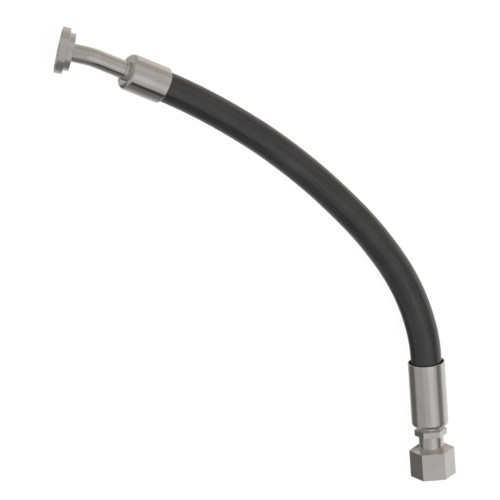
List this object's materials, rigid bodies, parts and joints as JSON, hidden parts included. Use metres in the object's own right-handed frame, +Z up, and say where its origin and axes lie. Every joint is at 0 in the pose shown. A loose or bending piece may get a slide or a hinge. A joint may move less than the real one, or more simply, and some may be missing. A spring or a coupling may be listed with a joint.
{
  "type": "hydraulic hose assembly",
  "caption": "Wire-braided hydraulic hose with a crimped bent-tube flange head at one end and a crimped swivel nut with a sealing cone at the other.",
  "frame": {"origin": "centre of the flange's sealing face", "axes": "+Z up from the table it lies on; +X along the hose where it leaves the flange ferrule, seen from above; the hose bows towards -Y"},
  "size_m": [0.4793, 0.2371, 0.0383],
  "materials": {
    "plated_steel": "satin zinc-nickel plated",
    "cover_rubber": "matt, fine wrap marks along the hose",
    "inner_rubber": "matt",
    "brass_coated_wire": "brass-coated wire braid",
    "seal_rubber": "satin",
    "spring_wire": "drawn wire"
  },
  "bodies": {
    "hose_and_fittings": {"flange_head": "plated_steel", "elbow_tube": "plated_steel", "flange_insert": "plated_steel", "flange_ferrule": "plated_steel", "hose_inner_tube": "inner_rubber", "hose_inner_braid": "brass_coated_wire", "hose_interlayer": "inner_rubber", "hose_outer_braid": "brass_coated_wire", "hose_cover": "cover_rubber", "nut_ferrule": "plated_steel", "swivel_insert": "plated_steel", "cone_seal": "seal_rubber"},
    "nut": {"swivel_nut": "plated_steel", "nut_retaining_wire": "spring_wire"}
  },
  "joints": [
    {"name": "nut_swivel", "type": "hinge", "parent": "hose_and_fittings", "child": "nut", "pos_m": [0.44778, -0.1897, 0.00108], "axis": [0.504, -0.862, 0.0536], "continuous": true}
  ]
}
